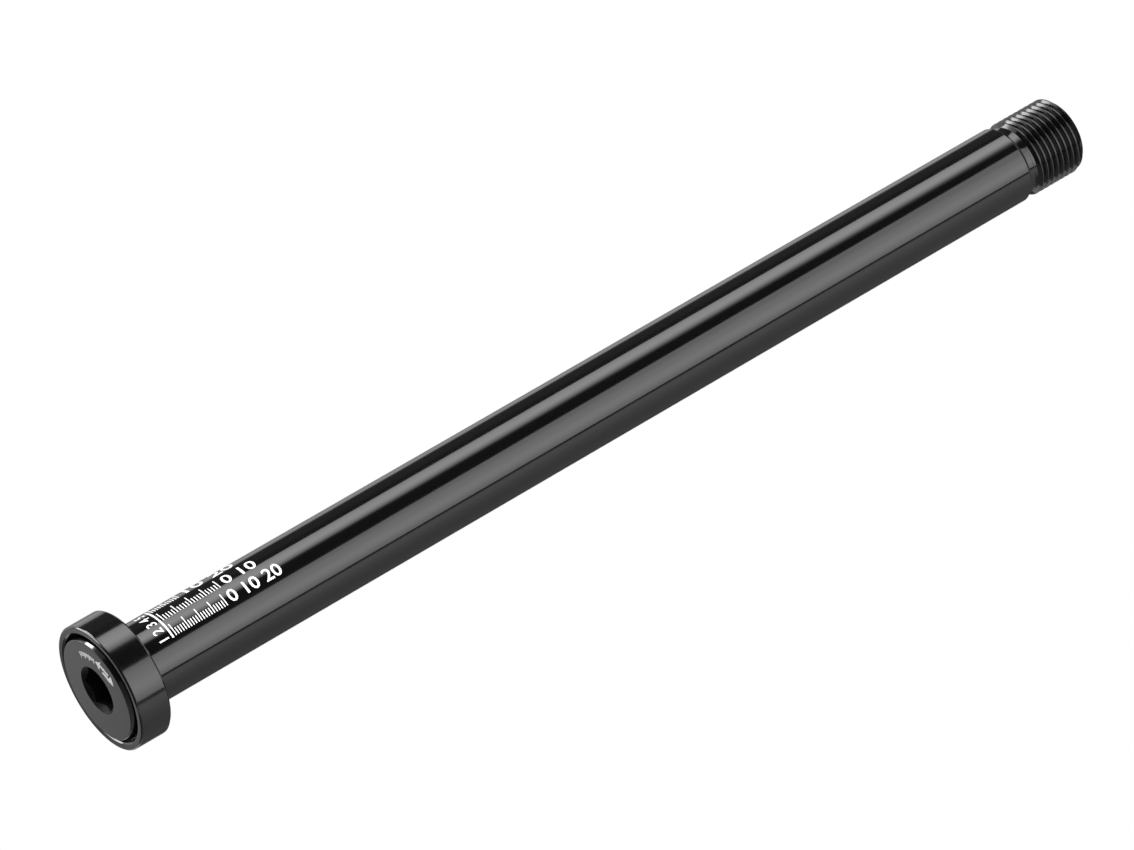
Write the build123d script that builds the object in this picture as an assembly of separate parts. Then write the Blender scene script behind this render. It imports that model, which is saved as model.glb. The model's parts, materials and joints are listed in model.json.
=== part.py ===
from build123d import *
from math import radians, tan
import os

# Bolt-on thru axle for a bicycle wheel, in millimetres.
# The axle stands on its head: the origin is the centre of the head's flat face,
# and +Z runs along the shaft to the threaded end.
# Three pieces: the turned axle with its head and thread, the collar that turns
# freely under the head, and the rubber ring sunk in its back that keeps it on.

# Shaft and thread, both made a little under the nominal diameter
nominal_diameter = 12.0
shaft_undersize = 0.05
overall_length = 176.3
thread_pitch = 1.0
thread_section_length = 10.95
relief_width = 0.84
relief_below_root = 0.06
thread_end_chamfer = 0.75
thread_start_angle = -25.0

# Bore drilled up the shaft from the threaded end, to a web short of the key socket
shaft_wall = 2.475
bore_web = 5.0
bore_mouth_chamfer = 0.4

# Head disc and its hexagon socket
disc_overhang = 1.955
disc_thickness = 2.6
disc_chamfer = 0.08
disc_taper = 0.24
disc_taper_share = 1 / 3
neck_fillet = 0.25
socket_across_flats = 6.0
socket_depth = 6.5
socket_mouth_bevel = 0.24
pilot_undersize = 0.4
pilot_extra_depth = 0.8

# Collar, a cup that the head disc sits in
cup_gap = 0.42
collar_wall = 1.2
collar_floor_thickness = 3.02
collar_setback = 0.42
rim_dish = 0.1
rim_inner_chamfer = 0.25
rim_outer_chamfer = 0.2
collar_back_chamfer = 0.35
collar_running_clearance = 0.05
neck_clearance = 0.15
seat_edge_chamfer = 0.2

# Rubber ring that keeps the collar on the shaft, sunk in the collar's back
ring_section = 1.0
ring_recess = 0.1
ring_sunk_in_shaft = 0.5
ring_seat_clearance = 0.02
ring_running_clearance = 0.06
ring_side_clearance = 0.15

# Shapes of the standard tools: a drill's point, and a metric thread's flanks and depth
drill_point_angle = 118.0
thread_flank_angle = 60.0
thread_depth_per_pitch = 0.6134
thread_crest_per_pitch = 1 / 8
thread_overshoot = thread_pitch / 20

# Radii and heights that follow from the sizes above
nominal_radius = nominal_diameter / 2
shaft_radius = (nominal_diameter - shaft_undersize) / 2
bore_radius = shaft_radius - shaft_wall
disc_radius = shaft_radius + disc_overhang
pilot_radius = (socket_across_flats - pilot_undersize) / 2
root_radius = nominal_radius - thread_depth_per_pitch * thread_pitch
relief_radius = root_radius - relief_below_root
relief_step = shaft_radius - relief_radius

shoulder_height = overall_length - thread_section_length
relief_start = shoulder_height + relief_step
relief_middle = relief_start + relief_width / 2
relief_end = relief_start + relief_width
thread_start = relief_end + relief_step

cup_radius = disc_radius + cup_gap
collar_radius = cup_radius + collar_wall
collar_front = collar_setback
cup_floor = disc_thickness
collar_back = cup_floor + collar_floor_thickness

ring_height = collar_back - ring_recess - ring_section / 2
ring_groove_start = ring_height - ring_section / 2 - ring_side_clearance
ring_groove_end = ring_height + ring_section / 2 + ring_side_clearance


def drill_point_length(radius):
    """Height of the cone that a twist drill of this radius leaves at the end of its hole."""
    half_angle = radians(drill_point_angle / 2)
    return radius / tan(half_angle)


def turned(outline):
    """Solid turned about Z from a closed outline of (radius, height) points."""
    corners = [(radius, 0, height) for radius, height in outline]
    section = make_face(Polyline(*corners, close=True))
    return revolve(section, Axis.Z)


def plain_shaft():
    """The head disc and the smooth shaft, up to the middle of the relief before the thread."""
    groove_radius = shaft_radius - ring_sunk_in_shaft
    shaft = turned([
        (0, 0),
        (disc_radius - disc_taper - disc_chamfer, 0),
        (disc_radius - disc_taper, disc_chamfer),
        (disc_radius, disc_thickness * disc_taper_share),
        (disc_radius, disc_thickness),
        (shaft_radius, disc_thickness),
        (shaft_radius, ring_groove_start),
        (groove_radius, ring_groove_start),
        (groove_radius, ring_groove_end),
        (shaft_radius, ring_groove_end),
        (shaft_radius, shoulder_height),
        (relief_radius, relief_start),
        (relief_radius, relief_middle),
        (0, relief_middle),
    ])
    rings_at_disc_back = shaft.edges().filter_by(GeomType.CIRCLE).filter_by_position(
        Axis.Z, disc_thickness, disc_thickness)
    neck = rings_at_disc_back.sort_by(SortBy.RADIUS)[0]
    return fillet(neck, neck_fillet)


def shaft_bore():
    """Drilled bore, open at the threaded end, with a chamfered mouth and a drill's cone."""
    deepest = socket_depth + pilot_extra_depth + drill_point_length(pilot_radius) + bore_web
    cone_end = deepest + drill_point_length(bore_radius)
    return turned([
        (0, deepest),
        (bore_radius, cone_end),
        (bore_radius, overall_length - bore_mouth_chamfer),
        (bore_radius + bore_mouth_chamfer, overall_length),
        (0, overall_length),
    ])


def hexagon_socket():
    """Hexagon for the key, with a corner on +X, its pilot hole and its bevelled mouth."""
    hexagon = RegularPolygon(socket_across_flats / 2, 6, major_radius=False)
    key_way = extrude(hexagon, socket_depth)
    pilot_end = socket_depth + pilot_extra_depth
    pilot = turned([
        (0, 0),
        (pilot_radius, 0),
        (pilot_radius, pilot_end),
        (0, pilot_end + drill_point_length(pilot_radius)),
    ])
    mouth_radius = hexagon.radius + socket_mouth_bevel
    mouth = turned([
        (0, 0),
        (mouth_radius, 0),
        (0, mouth_radius),
    ])
    return key_way + pilot + mouth


def thread_groove():
    """One V-shaped groove swept along a right-hand helix, from the relief to past the end."""
    slope = tan(radians(thread_flank_angle / 2))
    half_at_nominal = thread_pitch * (1 - thread_crest_per_pitch) / 2
    half_at_root = half_at_nominal - (nominal_radius - root_radius) * slope
    half_at_top = half_at_nominal + thread_overshoot * slope
    top_radius = nominal_radius + thread_overshoot
    section = make_face(Polyline(
        (root_radius, 0, -half_at_root),
        (top_radius, 0, -half_at_top),
        (top_radius, 0, half_at_top),
        (root_radius, 0, half_at_root),
        close=True,
    ))
    travel = overall_length + thread_pitch - relief_middle
    path = Helix(thread_pitch, travel, root_radius)
    groove = sweep(section, path, is_frenet=True)
    return Pos(0, 0, relief_middle) * Rot(0, 0, thread_start_angle) * groove


def threaded_end():
    """A rod with the groove cut in it, turned down to the relief, the thread and its chamfer."""
    rod_start = relief_middle - thread_pitch
    rod_length = overall_length + 2 * thread_pitch - rod_start
    rod = Pos(0, 0, rod_start) * Cylinder(
        shaft_radius, rod_length, align=(Align.CENTER, Align.CENTER, Align.MIN))
    spare = thread_overshoot
    envelope = turned([
        (0, relief_middle),
        (relief_radius, relief_middle),
        (relief_radius, relief_end),
        (shaft_radius + spare, thread_start + spare),
        (shaft_radius + spare, overall_length - thread_end_chamfer - spare),
        (shaft_radius - thread_end_chamfer, overall_length),
        (0, overall_length),
    ])
    return (rod - thread_groove()) & envelope


def make_axle():
    """The turned axle: head disc, shaft and thread in one piece of aluminium."""
    return plain_shaft() + threaded_end() - shaft_bore() - hexagon_socket()


def make_head_collar():
    """The cup-shaped collar: its rim stands round the head disc, its back bears on the frame."""
    bore = shaft_radius + collar_running_clearance
    ring_bore = ring_outer_radius() + ring_running_clearance
    neck_bevel = neck_fillet + neck_clearance
    rim_inside = collar_front + rim_dish
    return turned([
        (cup_radius + rim_inner_chamfer, rim_inside),
        (collar_radius - rim_outer_chamfer, collar_front),
        (collar_radius, collar_front + rim_outer_chamfer),
        (collar_radius, collar_back - collar_back_chamfer),
        (collar_radius - collar_back_chamfer, collar_back),
        (ring_bore + seat_edge_chamfer, collar_back),
        (ring_bore, collar_back - seat_edge_chamfer),
        (ring_bore, ring_groove_start),
        (bore, ring_groove_start),
        (bore, cup_floor + neck_bevel),
        (bore + neck_bevel, cup_floor),
        (cup_radius, cup_floor),
        (cup_radius, rim_inside + rim_inner_chamfer),
    ])


def ring_inner_radius():
    """The rubber ring hugs the floor of its groove in the shaft."""
    return shaft_radius - ring_sunk_in_shaft + ring_seat_clearance


def ring_outer_radius():
    """The rubber ring stands out of the shaft into the wide bore of the collar's back."""
    return ring_inner_radius() + ring_section


def make_retaining_ring():
    """The round-section rubber ring, half in the shaft's groove and half in the collar."""
    section_radius = ring_section / 2
    return Pos(0, 0, ring_height) * Torus(ring_inner_radius() + section_radius, section_radius)


os.makedirs("parts", exist_ok=True)
export_step(make_axle(), "parts/axle.step")
export_step(make_head_collar(), "parts/head_collar.step")
export_step(make_retaining_ring(), "parts/retaining_ring.step")
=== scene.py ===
import json
from math import cos, pi, radians, sin, tan

import bmesh
import bpy
import numpy as np
from mathutils import Matrix, Vector


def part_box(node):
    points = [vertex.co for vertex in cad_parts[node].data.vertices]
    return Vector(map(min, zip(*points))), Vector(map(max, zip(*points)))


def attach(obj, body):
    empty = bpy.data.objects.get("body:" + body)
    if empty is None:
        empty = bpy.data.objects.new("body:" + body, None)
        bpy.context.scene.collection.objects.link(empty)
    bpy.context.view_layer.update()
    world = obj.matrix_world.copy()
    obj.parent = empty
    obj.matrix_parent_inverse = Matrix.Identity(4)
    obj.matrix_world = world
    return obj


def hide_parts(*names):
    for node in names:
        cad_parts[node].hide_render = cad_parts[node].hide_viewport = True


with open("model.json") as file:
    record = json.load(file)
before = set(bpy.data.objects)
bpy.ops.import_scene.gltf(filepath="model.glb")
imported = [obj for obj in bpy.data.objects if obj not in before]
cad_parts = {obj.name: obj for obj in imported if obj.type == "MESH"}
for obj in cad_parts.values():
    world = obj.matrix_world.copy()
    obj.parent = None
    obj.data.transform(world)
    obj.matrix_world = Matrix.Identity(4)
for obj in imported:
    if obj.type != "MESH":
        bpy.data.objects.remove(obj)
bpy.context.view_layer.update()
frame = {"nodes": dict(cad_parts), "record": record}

# A black anodised thru axle, standing on its head with +Z along the shaft.
# Sizes are in millimetres and are turned into metres where a mesh is made.
MM = 0.001

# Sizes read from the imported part
axle_low, axle_high = (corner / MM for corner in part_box("axle"))
collar_low, collar_high = (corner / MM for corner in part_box("head_collar"))
mounts = {mount["name"]: mount for mount in frame["record"]["mounts"]}
LENGTH = axle_high.z
SHAFT_RADIUS = mounts["shaft"]["dims"]["r_mm"]
DISC_RADIUS = axle_high.x
COLLAR_RADIUS = collar_high.x
COLLAR_FRONT = collar_low.z
COLLAR_BACK = collar_high.z

# Head disc, key socket and the bore from the far end
DISC_THICKNESS = 2.6
DISC_CHAMFER = 0.08
DISC_TAPER = 0.24
DISC_TAPER_END = DISC_THICKNESS / 3
NECK_FILLET = 0.25
SOCKET_ACROSS_FLATS = 6.0
SOCKET_DEPTH = 6.5
SOCKET_MOUTH_BEVEL = 0.24
SOCKET_MOUTH_RADIUS = SOCKET_ACROSS_FLATS / 2 / cos(pi / 6) + SOCKET_MOUTH_BEVEL
PILOT_RADIUS = 2.8
PILOT_END = 7.3
BORE_RADIUS = 3.5
BORE_START = 14.0
BORE_MOUTH_CHAMFER = 0.4
DRILL_SLOPE = tan(radians(118 / 2))

# Ring groove, relief and thread
RING_GROOVE_RADIUS = 5.475
RING_GROOVE_START = 4.37
RING_GROOVE_END = 5.67
THREAD_SECTION_LENGTH = 10.95
THREAD_PITCH = 1.0
THREAD_DEPTH = 0.6134 * THREAD_PITCH
THREAD_NOMINAL_RADIUS = 6.0
THREAD_ROOT_RADIUS = THREAD_NOMINAL_RADIUS - THREAD_DEPTH
RELIEF_WIDTH = 0.84
RELIEF_BELOW_ROOT = 0.06
RELIEF_RADIUS = THREAD_ROOT_RADIUS - RELIEF_BELOW_ROOT
SHOULDER = LENGTH - THREAD_SECTION_LENGTH
RELIEF_START = SHOULDER + SHAFT_RADIUS - RELIEF_RADIUS
RELIEF_END = RELIEF_START + RELIEF_WIDTH
THREAD_START_ANGLE = -25.0
THREAD_FLANK_SLOPE = tan(radians(30))
THREAD_END_CHAMFER = 0.75

# Collar. Its rim is dished 0.07 mm less than in the solids, so that light passes the head disc and
# reaches the rim's near side.
CUP_RADIUS = 8.35
RIM_DISH = 0.03
RIM_INNER_CHAMFER = 0.25
RIM_OUTER_CHAMFER = 0.2
BACK_CHAMFER = 0.35
COLLAR_BORE = 6.025
RING_BORE = 6.555
NECK_BEVEL = 0.4
SEAT_EDGE_CHAMFER = 0.2

# How finely the turned pieces are divided, in a number that gives the hexagon its six corners
COLUMNS = 240

# How far a real edge is broken: a plain edge, the two edges of the disc's chamfer, the bend where
# the disc's taper ends, and the crest of the thread
EDGE_EASE = 0.05
CHAMFER_EASE = 0.03
TAPER_END_EASE = 0.2
CREST_EASE = 0.06

# Half the width of the thread's root, which is narrower here than in the solids
ROOT_HALF_WIDTH = 0.02

# Points nearer than this become one
JOIN_DISTANCE = 1e-4 * MM

# White marks: how far they stand proud of the metal and how deep they are sunk in it. The face
# of the head is set back by as much, so that the marks on it end level with the part.
MARK_PROUD = 0.008
MARK_SUNK = 0.02
FACE_HEIGHT = MARK_PROUD

# Smooth anodised aluminium: its black and the refractive index of the oxide skin
ANODISE_BLACK = "#060607"
ANODISE_INDEX = 1.6

# The height on the studio's cards that the shaft's head end reflects, in metres
LEAN_HEIGHT = 0.28

# The camera: the axle's lean from the line of sight, its turn in the picture, the angle of the side
# of the shaft that shows upward, and the head's place, in camera axes (right, down, forward)
IMAGE_WIDTH = 1134
FOCAL_PIXELS = 6752.5
SENSOR_WIDTH = 36.0
AXLE_LEAN = 63.528
AXLE_TURN = -30.099
UPPER_SIDE_ANGLE = 173.0
HEAD_PLACE = (-63.898, 36.128, 918.35)


def linear(hex_colour):
    """An sRGB colour written as hex, turned into linear red, green, blue and alpha."""
    value = np.array([int(hex_colour[i:i + 2], 16) for i in (1, 3, 5)]) / 255
    low = value / 12.92
    high = ((value + 0.055) / 1.055) ** 2.4
    return (*np.where(value <= 0.04045, low, high).tolist(), 1.0)


def add(tree, kind, inputs=None, **settings):
    """Adds a shader node with its settings; inputs are values, or output sockets to link."""
    made = tree.nodes.new(kind)
    for name, value in settings.items():
        setattr(made, name, value)
    for name, value in (inputs or {}).items():
        if isinstance(value, bpy.types.NodeSocket):
            tree.links.new(value, made.inputs[name])
        else:
            made.inputs[name].default_value = value
    return made


def new_material(name):
    """An empty node material, with its tree and its output node."""
    material = bpy.data.materials.new(name)
    material.use_nodes = True
    material.node_tree.nodes.clear()
    output = add(material.node_tree, "ShaderNodeOutputMaterial")
    return material, material.node_tree, output


def gloss_from(noise, smooth, rough):
    """Roughness that follows a noise, from smooth where it is low to rough where it is high."""
    ranged = add(noise.id_data, "ShaderNodeMapRange", {
        "Value": noise.outputs["Fac"], "From Min": 0.3, "From Max": 0.7,
        "To Min": smooth, "To Max": rough})
    return ranged.outputs["Result"]


def relief_from(noise, strength, depth):
    """A surface that a noise raises and sinks by this depth."""
    bump = add(noise.id_data, "ShaderNodeBump", {
        "Height": noise.outputs["Fac"], "Strength": strength, "Distance": depth})
    return bump.outputs["Normal"]


def drawn_black_anodise():
    """Drawn bar, dyed black and anodised: a glassy oxide skin over black, so the eye gets crisp
    bands of the studio, a little broken by the fine lines that drawing leaves along the bar."""
    material, tree, output = new_material("drawn_black_anodise")
    place = add(tree, "ShaderNodeTexCoord")
    line_width = 0.12 * MM
    line_length = 12 * MM
    stretched = add(tree, "ShaderNodeMapping", {
        "Vector": place.outputs["Object"],
        "Scale": (1 / line_width, 1 / line_width, 1 / line_length)})
    lines = add(tree, "ShaderNodeTexNoise", {
        "Vector": stretched.outputs["Vector"], "Scale": 1.0, "Detail": 3.0, "Roughness": 0.6})
    gloss = gloss_from(lines, smooth=0.07, rough=0.11)
    relief = relief_from(lines, strength=0.05, depth=0.004 * MM)
    skin = add(tree, "ShaderNodeBsdfPrincipled", {
        "Base Color": linear(ANODISE_BLACK), "IOR": ANODISE_INDEX, "Roughness": gloss,
        "Normal": relief})
    tree.links.new(skin.outputs["BSDF"], output.inputs["Surface"])
    return material


def turned_black_anodise():
    """Turned on a lathe, dyed black and anodised: a touch softer than the drawn bar, with tool
    lines in rings round the axis that soften the edges of each reflected band."""
    material, tree, output = new_material("turned_black_anodise")
    place = add(tree, "ShaderNodeTexCoord")
    parts = add(tree, "ShaderNodeSeparateXYZ", {"Vector": place.outputs["Object"]})
    flat = add(tree, "ShaderNodeCombineXYZ", {"X": parts.outputs["X"], "Y": parts.outputs["Y"]})
    radius = add(tree, "ShaderNodeVectorMath", {0: flat.outputs["Vector"]}, operation="LENGTH")
    section = add(tree, "ShaderNodeCombineXYZ", {
        "X": radius.outputs["Value"], "Y": parts.outputs["Z"]})
    tool_feed = 0.08 * MM
    rings = add(tree, "ShaderNodeTexNoise", {
        "Vector": section.outputs["Vector"], "Scale": 1 / tool_feed, "Detail": 2.0,
        "Roughness": 0.5})
    blast_grain = 0.3 * MM
    grain = add(tree, "ShaderNodeTexNoise", {
        "Vector": place.outputs["Object"], "Scale": 1 / blast_grain, "Detail": 3.0,
        "Roughness": 0.6})
    gloss = gloss_from(grain, smooth=0.1, rough=0.14)
    relief = relief_from(rings, strength=0.06, depth=0.004 * MM)
    skin = add(tree, "ShaderNodeBsdfPrincipled", {
        "Base Color": linear(ANODISE_BLACK), "IOR": ANODISE_INDEX, "Roughness": gloss,
        "Normal": relief})
    tree.links.new(skin.outputs["BSDF"], output.inputs["Surface"])
    return material


def broached_anodise_and_painted_shade():
    """The key socket, torn by its broach before it was dyed and anodised: the skin is rough, with a
    few dull glints at the mouth, and its reflection is turned well down as painted shade, so the
    recess reads almost dead black."""
    material, tree, output = new_material("broached_anodise_and_painted_shade")
    place = add(tree, "ShaderNodeTexCoord")
    tear_width = 0.15 * MM
    tear_length = 0.6 * MM
    stretched = add(tree, "ShaderNodeMapping", {
        "Vector": place.outputs["Object"],
        "Scale": (1 / tear_width, 1 / tear_width, 1 / tear_length)})
    tears = add(tree, "ShaderNodeTexNoise", {
        "Vector": stretched.outputs["Vector"], "Scale": 1.0, "Detail": 3.0, "Roughness": 0.6})
    gloss = gloss_from(tears, smooth=0.35, rough=0.6)
    relief = relief_from(tears, strength=0.5, depth=0.03 * MM)
    # Painted shade: the low specular level and the darker base keep the socket's recess almost
    # black; the roughness and the tears are the broached skin's own.
    skin = add(tree, "ShaderNodeBsdfPrincipled", {
        "Base Color": linear("#040404"), "IOR": 1.45, "Specular IOR Level": 0.2,
        "Roughness": gloss, "Normal": relief})
    tree.links.new(skin.outputs["BSDF"], output.inputs["Surface"])
    return material


def moulded_rubber():
    """Nitrile rubber as it leaves the mould: matt black with a soft, slightly uneven sheen."""
    material, tree, output = new_material("moulded_rubber")
    place = add(tree, "ShaderNodeTexCoord")
    grain_size = 0.15 * MM
    grain = add(tree, "ShaderNodeTexNoise", {
        "Vector": place.outputs["Object"], "Scale": 1 / grain_size, "Detail": 4.0})
    gloss = gloss_from(grain, smooth=0.5, rough=0.65)
    relief = relief_from(grain, strength=0.3, depth=0.01 * MM)
    skin = add(tree, "ShaderNodeBsdfPrincipled", {
        "Base Color": linear("#121212"), "IOR": 1.52, "Roughness": gloss, "Normal": relief})
    tree.links.new(skin.outputs["BSDF"], output.inputs["Surface"])
    return material


def laser_mark():
    """Anodise bleached by a laser: a matt, chalky white with small grey misses in it."""
    material, tree, output = new_material("laser_mark")
    place = add(tree, "ShaderNodeTexCoord")
    spot_size = 0.1 * MM
    spots = add(tree, "ShaderNodeTexNoise", {
        "Vector": place.outputs["Object"], "Scale": 1 / spot_size, "Detail": 2.0})
    tone = add(tree, "ShaderNodeValToRGB", {"Fac": spots.outputs["Fac"]})
    tone.color_ramp.elements[0].position = 0.3
    tone.color_ramp.elements[0].color = linear("#c4c4c2")
    tone.color_ramp.elements[1].position = 0.55
    tone.color_ramp.elements[1].color = linear("#eeeeec")
    skin = add(tree, "ShaderNodeBsdfPrincipled", {
        "Base Color": tone.outputs["Color"], "IOR": 1.5, "Roughness": 0.7})
    tree.links.new(skin.outputs["BSDF"], output.inputs["Surface"])
    return material


def eased(corners, eases, steps=3, hold=1.6):
    """An outline with its corners eased. corners is (rows, columns, 2), one outline per column.

    A corner c with ease e gives way to the curve (1 - t)^2 a + 2 t (1 - t) c + t^2 b, from a, a
    distance e before it, to b, a distance e after it, with a holding point a little outside each
    end, so that the flats beside it keep their own shading. An ease of 0 keeps the corner."""
    count = len(corners)
    t = np.linspace(0, 1, steps + 1)[:, None, None]
    rows = []
    for k in range(count):
        at = corners[k]
        if eases[k] == 0:
            rows.append(at[None])
            continue
        before = corners[(k - 1) % count] - at
        after = corners[(k + 1) % count] - at
        before /= np.linalg.norm(before, axis=-1, keepdims=True)
        after /= np.linalg.norm(after, axis=-1, keepdims=True)
        start = at + eases[k] * before
        end = at + eases[k] * after
        rows.append((at + hold * eases[k] * before)[None])
        rows.append((1 - t) ** 2 * start + 2 * t * (1 - t) * at + t ** 2 * end)
        rows.append((at + hold * eases[k] * after)[None])
    return np.concatenate(rows)


def column_angles():
    """The angles of the columns of a turned piece, from +X round towards +Y."""
    return np.arange(COLUMNS) * 2 * pi / COLUMNS


def outline(*corners):
    """Corners given as (radius, height, ease), where radius and height are numbers or one value
    for each column, as one array for eased() and its list of eases."""
    ones = np.ones(COLUMNS)
    points = [np.stack([radius * ones, height * ones], -1) for radius, height, ease in corners]
    return np.stack(points), [ease for radius, height, ease in corners]


def round_axis(points):
    """(radius, height) at each column, turned about Z: x = r cos a, y = r sin a, z = height."""
    angle = column_angles()
    radius, height = points[..., 0], points[..., 1]
    return np.stack([radius * np.cos(angle), radius * np.sin(angle), height], -1)


def ring_quads(rows, turn_rows=0, closed=False):
    """Quads between neighbouring rows and columns of a (rows, COLUMNS) grid of points.

    Past the last column the grid goes on at the first one, turn_rows rows further up, which is
    what a screw thread does in one turn."""
    index = np.arange(rows * COLUMNS).reshape(rows, COLUMNS)
    if closed:
        index = np.vstack([index, index[:1]])
    total = len(index) - turn_rows
    beside = np.hstack([index[:total, 1:], index[turn_rows:, :1]])
    here = index[:total]
    return np.stack([here[:-1], beside[:-1], beside[1:], here[1:]], -1).reshape(-1, 4)


def close_up(mesh):
    """Joins points that coincide, which closes poles and seams, and turns all faces outward."""
    shape = bmesh.new()
    shape.from_mesh(mesh)
    bmesh.ops.remove_doubles(shape, verts=shape.verts, dist=JOIN_DISTANCE)
    bmesh.ops.dissolve_degenerate(shape, edges=shape.edges, dist=JOIN_DISTANCE)
    bmesh.ops.recalc_face_normals(shape, faces=shape.faces)
    shape.to_mesh(mesh)
    shape.free()


def make_piece(name, grids, materials, sharp_angle=35.0):
    """One closed mesh from (points, quads, material number) grids in millimetres."""
    first = 0
    points, quads, numbers = [], [], []
    for grid_points, grid_quads, number in grids:
        points.append(grid_points.reshape(-1, 3))
        quads.append(grid_quads + first)
        numbers.append(np.full(len(grid_quads), number))
        first += points[-1].shape[0]
    mesh = bpy.data.meshes.new(name)
    mesh.from_pydata(np.concatenate(points) * MM, [], np.concatenate(quads))
    mesh.polygons.foreach_set("material_index", np.concatenate(numbers).astype(np.int32))
    close_up(mesh)
    for material in materials:
        mesh.materials.append(material)
    mesh.polygons.foreach_set("use_smooth", np.ones(len(mesh.polygons), bool))
    mesh.set_sharp_from_angle(angle=radians(sharp_angle))
    piece = bpy.data.objects.new(name, mesh)
    bpy.context.scene.collection.objects.link(piece)
    return piece


def hexagon_radius():
    """Distance from the axis to the socket's wall: half the width across flats over the cosine of
    the angle from the middle of the nearest flat. A corner lies on +X."""
    from_flat = (column_angles() % (pi / 3)) - pi / 6
    return SOCKET_ACROSS_FLATS / 2 / np.cos(from_flat)


def socket_grid():
    """From the bottom of the pilot hole up the hexagon's walls to the end of the mouth's bevel."""
    hexagon = hexagon_radius()
    ease = EDGE_EASE
    corners, eases = outline(
        (0, PILOT_END + PILOT_RADIUS / DRILL_SLOPE, 0),
        (PILOT_RADIUS, PILOT_END, ease),
        (PILOT_RADIUS, SOCKET_DEPTH, ease / 2),
        (hexagon, SOCKET_DEPTH, ease / 2),
        (hexagon, SOCKET_MOUTH_RADIUS - hexagon, ease),
        (SOCKET_MOUTH_RADIUS, FACE_HEIGHT, 0),
    )
    rows = eased(corners, eases)
    return round_axis(rows), ring_quads(len(rows))


def head_and_shaft_grid():
    """From the socket's mouth, over the face, the disc and the shaft, to the relief."""
    ease = EDGE_EASE
    corners, eases = outline(
        (SOCKET_MOUTH_RADIUS, FACE_HEIGHT, 0),
        (DISC_RADIUS - DISC_TAPER - DISC_CHAMFER, FACE_HEIGHT, CHAMFER_EASE),
        (DISC_RADIUS - DISC_TAPER, DISC_CHAMFER, CHAMFER_EASE),
        (DISC_RADIUS, DISC_TAPER_END, TAPER_END_EASE),
        (DISC_RADIUS, DISC_THICKNESS, ease),
        (SHAFT_RADIUS, DISC_THICKNESS, NECK_FILLET),
        (SHAFT_RADIUS, RING_GROOVE_START, ease),
        (RING_GROOVE_RADIUS, RING_GROOVE_START, ease),
        (RING_GROOVE_RADIUS, RING_GROOVE_END, ease),
        (SHAFT_RADIUS, RING_GROOVE_END, ease),
        (SHAFT_RADIUS, SHOULDER, ease),
        (RELIEF_RADIUS, RELIEF_START, ease),
        (RELIEF_RADIUS, RELIEF_END, 0),
    )
    rows = eased(corners, eases)
    return round_axis(rows), ring_quads(len(rows))


def thread_section():
    """One pitch of the thread's section, from groove to groove, as (height, radius) rows.

    The groove runs from a narrow root to the crest's edge, and is 7/8 of the pitch wide at the
    nominal radius. The crest is almost round, as it is on a thread that has been tumbled."""
    half_at_nominal = THREAD_PITCH * 7 / 16
    half_at_crest = half_at_nominal - (THREAD_NOMINAL_RADIUS - SHAFT_RADIUS) * THREAD_FLANK_SLOPE
    half = np.array([
        [0, THREAD_ROOT_RADIUS],
        [ROOT_HALF_WIDTH, THREAD_ROOT_RADIUS],
        [half_at_crest, SHAFT_RADIUS],
        [THREAD_PITCH / 2, SHAFT_RADIUS],
    ])
    rows = eased(half[:, None], [0, 0, CREST_EASE, 0], steps=4, hold=1.2)[:, 0]
    mirrored = rows[-2:0:-1] * (-1, 1) + (THREAD_PITCH, 0)
    return np.concatenate([rows, mirrored])


def thread_end_radius(height):
    """The turned blank that the thread is cut in: 45 degrees up from the relief to the shaft's
    radius, and 45 degrees down again to the far end."""
    from_relief = RELIEF_RADIUS + (height - RELIEF_END)
    to_end = SHAFT_RADIUS - THREAD_END_CHAMFER + (LENGTH - height)
    return np.minimum(np.minimum(from_relief, to_end), SHAFT_RADIUS)


def thread_grid(end_height):
    """The threaded surface. Each row follows the helix, so that crests and roots are true lines:
    height = row height + pitch * angle / 2 pi, cut off at the relief and at end_height. The radius
    is the thread's section at that place or the blank's radius, whichever is less."""
    section = thread_section()
    per_pitch = len(section)
    first = RELIEF_END - 1.5 * THREAD_PITCH
    groove_height = (RELIEF_START + RELIEF_END) / 2
    groove_height -= THREAD_PITCH * np.ceil((groove_height - first) / THREAD_PITCH)
    pitches = int(np.ceil((end_height - groove_height) / THREAD_PITCH)) + 2
    heights = (section[:, 0] + THREAD_PITCH * np.arange(pitches)[:, None]).reshape(-1, 1)
    angle = column_angles()
    turn = (angle - radians(THREAD_START_ANGLE)) / (2 * pi)
    height = groove_height + heights + THREAD_PITCH * turn
    height = np.clip(height, RELIEF_END, end_height)
    phase = (height - groove_height - THREAD_PITCH * turn) % THREAD_PITCH
    knots = np.append(section[:, 0], THREAD_PITCH)
    radii = np.append(section[:, 1], section[0, 1])
    radius = np.minimum(np.interp(phase, knots, radii), thread_end_radius(height))
    points = np.stack([radius, height], -1)
    return round_axis(points), ring_quads(len(heights), turn_rows=per_pitch)


def far_end_grid(start_height):
    """From the thread's end chamfer over the end face and down the bore to the drill's cone."""
    end_radius = SHAFT_RADIUS - THREAD_END_CHAMFER
    ease = EDGE_EASE
    corners, eases = outline(
        (thread_end_radius(start_height), start_height, 0),
        (end_radius, LENGTH, ease),
        (BORE_RADIUS + BORE_MOUTH_CHAMFER, LENGTH, ease),
        (BORE_RADIUS, LENGTH - BORE_MOUTH_CHAMFER, ease),
        (BORE_RADIUS, BORE_START + BORE_RADIUS / DRILL_SLOPE, ease),
        (0, BORE_START, 0),
    )
    rows = eased(corners, eases)
    return round_axis(rows), ring_quads(len(rows))


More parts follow.
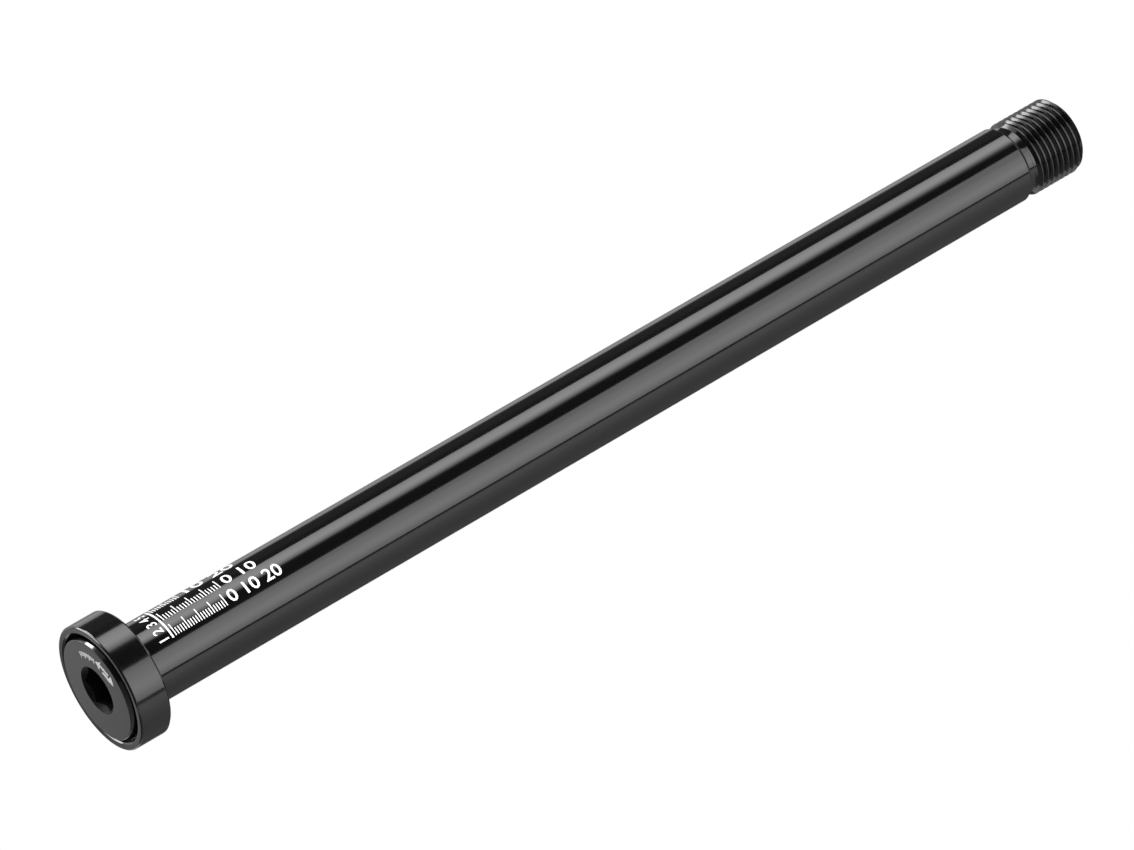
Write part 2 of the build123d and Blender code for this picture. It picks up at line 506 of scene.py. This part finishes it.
def make_axle(drawn, turned, broached_and_shaded):
    """The axle, turned from one bar: its skin runs from the bottom of the key socket over the
    head, the shaft and the thread to the bottom of the bore."""
    thread_end = LENGTH - 2 * EDGE_EASE
    grids = [
        (*socket_grid(), 2),
        (*head_and_shaft_grid(), 0),
        (*thread_grid(thread_end), 1),
        (*far_end_grid(thread_end), 1),
    ]
    piece = make_piece("axle_turned", grids, [drawn, turned, broached_and_shaded])
    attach(piece, "axle")
    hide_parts("axle")


def make_collar(turned):
    """The collar: a ring turned with a cup in its front for the head disc and a wide bore in its
    back for the rubber ring. The outline closes on itself."""
    ease = EDGE_EASE
    rim_inside = COLLAR_FRONT + RIM_DISH
    corners, eases = outline(
        (CUP_RADIUS + RIM_INNER_CHAMFER, rim_inside, ease),
        (COLLAR_RADIUS - RIM_OUTER_CHAMFER, COLLAR_FRONT, ease),
        (COLLAR_RADIUS, COLLAR_FRONT + RIM_OUTER_CHAMFER, ease),
        (COLLAR_RADIUS, COLLAR_BACK - BACK_CHAMFER, ease),
        (COLLAR_RADIUS - BACK_CHAMFER, COLLAR_BACK, ease),
        (RING_BORE + SEAT_EDGE_CHAMFER, COLLAR_BACK, ease),
        (RING_BORE, COLLAR_BACK - SEAT_EDGE_CHAMFER, ease),
        (RING_BORE, RING_GROOVE_START, ease),
        (COLLAR_BORE, RING_GROOVE_START, ease),
        (COLLAR_BORE, DISC_THICKNESS + NECK_BEVEL, ease),
        (COLLAR_BORE + NECK_BEVEL, DISC_THICKNESS, ease),
        (CUP_RADIUS, DISC_THICKNESS, ease),
        (CUP_RADIUS, rim_inside + RIM_INNER_CHAMFER, ease),
    )
    rows = eased(corners, eases)
    grids = [(round_axis(rows), ring_quads(len(rows), closed=True), 0)]
    piece = make_piece("collar_turned", grids, [turned])
    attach(piece, "collar")
    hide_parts("head_collar")


def camera_axes():
    """The camera's right, down and forward directions in the object's frame, as columns.

    In the camera's own axes the shaft's direction follows from its lean and turn. The side
    direction is square to both the shaft and the line of sight, and the near direction is square
    to the shaft and the side. The same three directions are known in the object's frame."""
    lean, turn = radians(AXLE_LEAN), radians(AXLE_TURN)
    along = np.array([sin(lean) * cos(turn), sin(lean) * sin(turn), cos(lean)])
    side = np.cross(along, (0, 0, 1))
    side /= np.linalg.norm(side)
    seen = np.column_stack([side, np.cross(along, side), along])
    angle = radians(UPPER_SIDE_ANGLE)
    stood = np.column_stack([
        (cos(angle), sin(angle), 0), (-sin(angle), cos(angle), 0), (0, 0, 1)])
    return stood @ seen.T


def make_camera():
    """The camera at the photograph's viewing angle, a long lens about 0.9 m from the head."""
    axes = camera_axes()
    place = -axes @ np.array(HEAD_PLACE) * MM
    data = bpy.data.cameras.new("camera")
    data.sensor_width = SENSOR_WIDTH
    data.lens = FOCAL_PIXELS / IMAGE_WIDTH * SENSOR_WIDTH
    data.clip_start = 0.01
    data.clip_end = 20
    camera = bpy.data.objects.new("camera", data)
    matrix = np.eye(4)
    matrix[:3, :3] = axes * (1, -1, -1)
    matrix[:3, 3] = place
    camera.matrix_world = Matrix(matrix.tolist())
    bpy.context.scene.collection.objects.link(camera)
    bpy.context.scene.camera = camera


def make_world():
    """White studio: white to the camera and in reflections, and a softer grey as a light."""
    strength_as_light = 0.6
    world = bpy.data.worlds.new("studio")
    bpy.context.scene.world = world
    world.use_nodes = True
    tree = world.node_tree
    tree.nodes.clear()
    path = add(tree, "ShaderNodeLightPath")
    seen = add(tree, "ShaderNodeMath", {
        0: path.outputs["Is Camera Ray"], 1: path.outputs["Is Glossy Ray"]}, operation="MAXIMUM")
    seen = add(tree, "ShaderNodeMath", {
        0: seen.outputs["Value"], 1: path.outputs["Is Transmission Ray"]}, operation="MAXIMUM")
    level = add(tree, "ShaderNodeMapRange", {
        "Value": seen.outputs["Value"], "To Min": strength_as_light, "To Max": 1.0})
    light = add(tree, "ShaderNodeBackground", {
        "Color": linear("#ffffff"), "Strength": level.outputs["Result"]})
    output = add(tree, "ShaderNodeOutputWorld")
    tree.links.new(light.outputs["Background"], output.inputs["Surface"])


def make_floor():
    """A pale round floor that fades into the white studio. It is clear from below, because the
    photograph looks up at the head's face, which the axle stands on."""
    angle = column_angles()
    rings = np.array([0.9, 0.2, 0.05, 0.0])[:, None]
    fades_from, clear_at = 0.15, 0.8
    just_below_the_face = -0.01 * MM
    points = np.stack([
        rings * np.cos(angle), rings * np.sin(angle), 0 * rings * angle + just_below_the_face], -1)
    mesh = bpy.data.meshes.new("floor")
    mesh.from_pydata(points.reshape(-1, 3), [], ring_quads(len(rings)))
    shape = bmesh.new()
    shape.from_mesh(mesh)
    bmesh.ops.remove_doubles(shape, verts=shape.verts, dist=1e-6)
    shape.to_mesh(mesh)
    shape.free()
    floor = bpy.data.objects.new("floor", mesh)
    bpy.context.scene.collection.objects.link(floor)
    material, tree, output = new_material("pale_floor")
    place = add(tree, "ShaderNodeTexCoord")
    distance = add(tree, "ShaderNodeVectorMath", {0: place.outputs["Object"]}, operation="LENGTH")
    fade = add(tree, "ShaderNodeMapRange", {
        "Value": distance.outputs["Value"], "From Min": fades_from, "From Max": clear_at},
        interpolation_type="SMOOTHSTEP")
    below = add(tree, "ShaderNodeNewGeometry")
    clear = add(tree, "ShaderNodeMath", {
        0: fade.outputs["Result"], 1: below.outputs["Backfacing"]}, operation="MAXIMUM")
    matt = add(tree, "ShaderNodeBsdfDiffuse", {"Color": linear("#efefee")})
    nothing = add(tree, "ShaderNodeBsdfTransparent")
    mixed = add(tree, "ShaderNodeMixShader", {
        0: clear.outputs["Value"], 1: matt.outputs["BSDF"], 2: nothing.outputs["BSDF"]})
    tree.links.new(mixed.outputs["Shader"], output.inputs["Surface"])
    mesh.materials.append(material)
    floor.visible_glossy = False
    floor.visible_shadow = False


def around(angle, elevation, distance):
    """A point round the shaft's middle. The angle is counted from the side of the shaft that
    shows upward in the picture, and 90 degrees later comes the side that faces the camera."""
    turned = radians(UPPER_SIDE_ANGLE + angle)
    flat = distance * cos(radians(elevation))
    return Vector((flat * cos(turned), flat * sin(turned), distance * sin(radians(elevation))))


def make_lamp(name, width, height, brightness, place, facing):
    """A lamp whose face is as bright as the number says, where white paper is 1: power =
    brightness * pi * area. The metal doesn't reflect it."""
    data = bpy.data.lights.new(name, "AREA")
    data.shape = "RECTANGLE"
    data.size = width
    data.size_y = height
    data.energy = brightness * pi * data.size * data.size_y
    lamp = bpy.data.objects.new(name, data)
    lamp.matrix_world = Matrix.LocRotScale(place, facing, None)
    lamp.visible_camera = False
    lamp.visible_glossy = False
    bpy.context.scene.collection.objects.link(lamp)


def make_softbox(name, from_angle, to_angle, brightness, low=-0.5, high=0.8, distance=0.6):
    """A tall lamp that covers a range of angles round the shaft. Its face is drawn in the metal by
    a card that make_studio sets before it, bright in the middle and dim at the edge."""
    half = radians(to_angle - from_angle) / 2
    place = around((from_angle + to_angle) / 2, 0, distance)
    facing = place.to_track_quat("Z", "Y")
    place.z = (low + high) / 2
    make_lamp(name, 2 * distance * tan(half), high - low, brightness, place, facing)


def seen_in_reflections(name, mesh, strength=None):
    """An object that is seen only in reflections. It glows with this strength, where white paper
    is 1, or without a strength by the glow that each of its points has."""
    material, tree, output = new_material(name)
    if strength is None:
        strength = add(tree, "ShaderNodeAttribute", attribute_name="glow").outputs["Fac"]
    light = add(tree, "ShaderNodeEmission", {"Color": linear("#ffffff"), "Strength": strength})
    tree.links.new(light.outputs["Emission"], output.inputs["Surface"])
    mesh.materials.append(material)
    thing = bpy.data.objects.new(name, mesh)
    bpy.context.scene.collection.objects.link(thing)
    thing.visible_camera = False
    thing.visible_diffuse = False
    thing.visible_transmission = False
    thing.visible_shadow = False


def make_card(name, tones, low=-0.6, high=0.8, distance=0.55, left_lean=0, right_lean=0):
    """A curved card round the shaft: a wall of the cylinder whose radius is the distance.

    tones are pairs of an angle round the shaft and how bright the card is there. Black cards keep
    the white studio out of a band of the metal. An edge can lean by so many degrees round the
    shaft for each metre above LEAN_HEIGHT."""
    marks, levels = np.array(tones).T
    columns, rows = 49, 15
    share = np.linspace(0, 1, columns)
    levels = np.interp(marks[0] + share * (marks[-1] - marks[0]), marks, levels)
    heights = np.linspace(low, high, rows)[:, None]
    left = marks[0] + left_lean * (heights - LEAN_HEIGHT)
    right = marks[-1] + right_lean * (heights - LEAN_HEIGHT)
    angles = np.radians(UPPER_SIDE_ANGLE + left + share * (right - left))
    points = np.stack([
        distance * np.cos(angles), distance * np.sin(angles), heights + 0 * angles], -1)
    index = np.arange(rows * columns).reshape(rows, columns)
    quads = np.stack([index[:-1, :-1], index[:-1, 1:], index[1:, 1:], index[1:, :-1]], -1)
    mesh = bpy.data.meshes.new(name)
    mesh.from_pydata(points.reshape(-1, 3), [], quads.reshape(-1, 4))
    glow = mesh.attributes.new("glow", "FLOAT", "POINT")
    glow.data.foreach_set("value", np.tile(levels, rows).astype(np.float32))
    seen_in_reflections(name, mesh)


def make_black_table():
    """A black round table well below the object. It keeps the flanks of the thread and the edges
    that face downward black."""
    radius, height = 0.75, -1.0
    angle = column_angles()
    points = np.stack([radius * np.cos(angle), radius * np.sin(angle), height + 0 * angle], -1)
    mesh = bpy.data.meshes.new("black_table")
    mesh.from_pydata(points, [], [list(range(COLUMNS))])
    seen_in_reflections("black_table", mesh, strength=0.03)


def make_studio():
    """Two tall softboxes with black cards beside them give a black glossy shaft its light bands.
    Small cards near the head give its face and rim their grey and put glints on its edges."""
    make_softbox("upper_softbox", 5, 55, brightness=3.1)
    make_softbox("near_softbox", 68, 141, brightness=2.0)
    make_card("upper_softbox_face", [
        (5, 2.6), (10, 2.8), (14, 3.1), (18, 3.6), (22, 3.8), (26, 4.0), (30, 4.2), (34, 3.8),
        (38, 3.1), (42, 2.1), (46, 0.9), (50, 0.25)], low=0.13, distance=0.56)
    make_card("near_softbox_face", [
        (68, 1.9), (82, 1.95), (86, 2.0), (94, 2.45), (106, 2.7), (114, 3.0), (122, 2.95),
        (130, 2.5), (134, 2.15), (140.5, 2.05)], low=0.13, distance=0.56)
    make_card("back_white_card", [(-110, 2.4), (-80, 2.05), (-66, 1.15)], low=0.25)
    make_card("upper_black_card", [
        (-40, 0.12), (-28, 0.1), (-10, 0.13), (2, 0.06), (10.2, 0.05)], low=0.12)
    make_card("middle_black_card", [(46, 0.35), (51, 0.03), (76, 0.02), (81, 0.08)],
              left_lean=20, right_lean=-45)
    make_card("line_between", [(140.5, 0.1), (146.5, 0.2)], low=0.1)
    make_card("lower_grey_card", [
        (146.5, 1.0), (158, 0.87), (170, 0.62), (190, 0.4), (210, 0.28), (230, 0.19), (240, 0.11),
        (246, 0.11), (254, 0.17), (262, 0.25), (268, 0.3), (300, 0.5)], low=0.1)
    make_card("behind_black_card", [(235, 0.03), (310, 0.03)], low=0.52, high=1.4, distance=0.54)
    make_card("table_edge_card", [
        (14, 0.4), (40, 0.35), (60, 0.2), (120, 0.17), (150, 0.3), (177, 0.4), (215, 0.35)],
        low=-0.35, high=0.13, distance=0.57)
    make_card("below_black_card", [(180, 0.2), (245, 0.2)], low=-1.0, high=-0.12)
    make_card("face_grey_card", [(255, 0.42), (266, 0.5), (274, 0.68), (300, 0.75)],
              low=-0.067, high=0.02, distance=0.15)
    make_card("rim_black_card", [(225, 0.15), (315, 0.15)], low=-0.3, high=-0.067, distance=0.15)
    make_card("disc_glint_card", [(-11, 0.5), (-4, 28.0), (8, 28.0), (15, 0.5)],
              low=-0.013, high=0.004, distance=0.05)
    make_card("edge_glint_card", [(-86, 9.0), (-77, 9.0)], low=-1.05, high=-0.33, distance=0.9,
              left_lean=-62, right_lean=-62)
    make_black_table()
    below_the_face = around(60, -55, 0.7)
    toward_the_face = below_the_face.to_track_quat("Z", "Y")
    make_lamp("face_fill", 0.6, 0.6, brightness=2.1, place=below_the_face, facing=toward_the_face)


def band(u, low, high, steps=10):
    """A flat band as a closed slab. Its place u and its two edges run straight from each knot to
    the next, and the third number is 0 at its bottom and 1 at its top."""
    knots = np.arange(len(u))
    t = np.linspace(0, knots[-1], steps * knots[-1] + 1)
    u, low, high = (np.interp(t, knots, values) for values in (u, low, high))
    edges = np.stack([low, high, high, low])
    bottom_or_top = np.array([0, 0, 1, 1])[:, None] + 0 * t
    points = np.stack([u + 0 * edges, edges, bottom_or_top], -1)
    index = np.arange(4 * len(t)).reshape(4, -1)
    around_it = np.vstack([index, index[:1]])
    quads = np.stack([
        around_it[:-1, :-1], around_it[1:, :-1], around_it[1:, 1:], around_it[:-1, 1:]], -1)
    ends = np.stack([index[:, 0], index[::-1, -1]])
    mesh = bpy.data.meshes.new("band")
    mesh.from_pydata(points.reshape(-1, 3), [], np.concatenate([quads.reshape(-1, 4), ends]))
    return mesh


def numbers(body, u, v, across=False):
    """Plain numbers as a closed slab, stretched to fill the ranges u and v of the flat plane. They
    read along u with their tops towards v, or across, along v with their tops towards -u."""
    half_thickness = 0.5
    bolder = 0.012
    data = bpy.data.curves.new("numbers", "FONT")
    data.body = body
    data.extrude = half_thickness
    data.offset = bolder
    data.resolution_u = 3
    text = bpy.data.objects.new("numbers", data)
    mesh = bpy.data.meshes.new_from_object(text)
    bpy.data.objects.remove(text)
    points = np.empty(len(mesh.vertices) * 3, np.float32)
    mesh.vertices.foreach_get("co", points)
    points = points.reshape(-1, 3)
    points[:, 2] += half_thickness
    if across:
        points[:, :2] = np.stack([-points[:, 1], points[:, 0]], -1)
    lowest, highest = points[:, :2].min(0), points[:, :2].max(0)
    target = np.array([u, v]).T
    share = (points[:, :2] - lowest) / (highest - lowest)
    points[:, :2] = target[0] + share * (target[1] - target[0])
    mesh.vertices.foreach_set("co", points.ravel())
    return mesh


def ruler(u_from, u_to, count, low, high, width=0.16):
    """A row of ticks, every fifth one long and the others a little over half as long."""
    places = np.linspace(u_from + width / 2, u_to - width / 2, count)
    short = low + 0.55 * (high - low)
    tops = np.where(np.arange(count) % 5 == 0, high, short)
    return [band([u - width / 2, u + width / 2], [low, low], [top, top], steps=1)
            for u, top in zip(places, tops)]


def wrapped_marks(name, meshes, cuts, wrap, material):
    """Flat slabs as one piece. They are cut where v is one of the cuts, so that they can follow a
    curve, and wrap turns their (u, v, height) in millimetres into a place on the metal."""
    shape = bmesh.new()
    for mesh in meshes:
        shape.from_mesh(mesh)
    for cut in cuts:
        everything = [*shape.verts, *shape.edges, *shape.faces]
        bmesh.ops.bisect_plane(shape, geom=everything, plane_co=(0, cut, 0), plane_no=(0, 1, 0))
    bmesh.ops.triangulate(shape, faces=shape.faces)
    result = bpy.data.meshes.new(name)
    shape.to_mesh(result)
    shape.free()
    points = np.empty(len(result.vertices) * 3, np.float32)
    result.vertices.foreach_get("co", points)
    u, v, top = points.reshape(-1, 3).T
    placed = wrap(u, v, -MARK_SUNK + top * (MARK_SUNK + MARK_PROUD))
    result.vertices.foreach_set("co", (np.stack(placed, -1) * MM).ravel())
    close_up(result)
    result.materials.append(material)
    piece = bpy.data.objects.new(name, result)
    bpy.context.scene.collection.objects.link(piece)
    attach(piece, "axle")


def onto_shaft(u, v, height):
    """u runs along the shaft and v round it, against the angle: angle = upper side - v / radius."""
    angle = radians(UPPER_SIDE_ANGLE) - v / SHAFT_RADIUS
    radius = SHAFT_RADIUS + height
    return radius * np.cos(angle), radius * np.sin(angle), u


def onto_face(u, v, height):
    """u is the angle in degrees and v the distance from the axis, on the face of the head."""
    angle = np.radians(UPPER_SIDE_ANGLE + u)
    return v * np.cos(angle), v * np.sin(angle), FACE_HEIGHT - height


def round_shaft(angle):
    """How far round the shaft an angle lies, in millimetres, in the sense that v runs."""
    return -radians(angle) * SHAFT_RADIUS


def make_shaft_marks(material):
    """A line round the shaft behind the collar, numbers beside it, and three rows that each hold
    a graduated scale and a few plain numbers."""
    meshes = [
        band([11.05, 11.35], [round_shaft(80)] * 2, [round_shaft(12)] * 2, steps=1),
        numbers("1 2 3 4 5", (9.05, 10.65), (round_shaft(78), round_shaft(15)), across=True),
        *ruler(11.7, 16.3, 11, round_shaft(25), round_shaft(5)),
        numbers("10 20", (17.6, 25.9), (round_shaft(25), round_shaft(5))),
        *ruler(11.7, 21.5, 21, round_shaft(51), round_shaft(33)),
        numbers("0 10", (22.3, 27.9), (round_shaft(51), round_shaft(33))),
        *ruler(11.7, 20.6, 21, round_shaft(79), round_shaft(60)),
        numbers("0 10 20", (21.3, 30.2), (round_shaft(79), round_shaft(60))),
    ]
    cuts = np.arange(round_shaft(82), 0, 0.25)
    wrapped_marks("marks_on_shaft", meshes, cuts, onto_shaft, material)


def make_face_marks(material):
    """Two curved arrows that point opposite ways, and an arc of ticks like a dial's."""
    closing = [70, 84, 84, 96]
    opening = [81, 63, 63, 53]
    meshes = [
        band(closing, [5.0, 5.2, 5.05, 5.75], [5.45, 5.75, 6.65, 5.9]),
        band(opening, [5.85, 5.7, 4.9, 5.7], [6.3, 6.15, 6.7, 5.85]),
    ]
    ticks = 13
    places = np.linspace(14, 49, ticks)
    inner = np.where(np.arange(ticks) % 4 == 0, 5.05, 5.4)
    meshes += [band([at - 1.0, at + 1.0], [low, low], [6.05, 6.05], steps=1)
               for at, low in zip(places, inner)]
    wrapped_marks("marks_on_face", meshes, [], onto_face, material)


drawn = drawn_black_anodise()
turned = turned_black_anodise()
rubber = moulded_rubber()
marked = laser_mark()
broached_and_shaded = broached_anodise_and_painted_shade()
make_axle(drawn, turned, broached_and_shaded)
make_collar(turned)
make_shaft_marks(marked)
make_face_marks(marked)
ring = frame["nodes"]["retaining_ring"]
ring.data.materials.clear()
ring.data.materials.append(rubber)
make_camera()
make_world()
make_floor()
make_studio()
bpy.context.scene.view_settings.view_transform = "Standard"
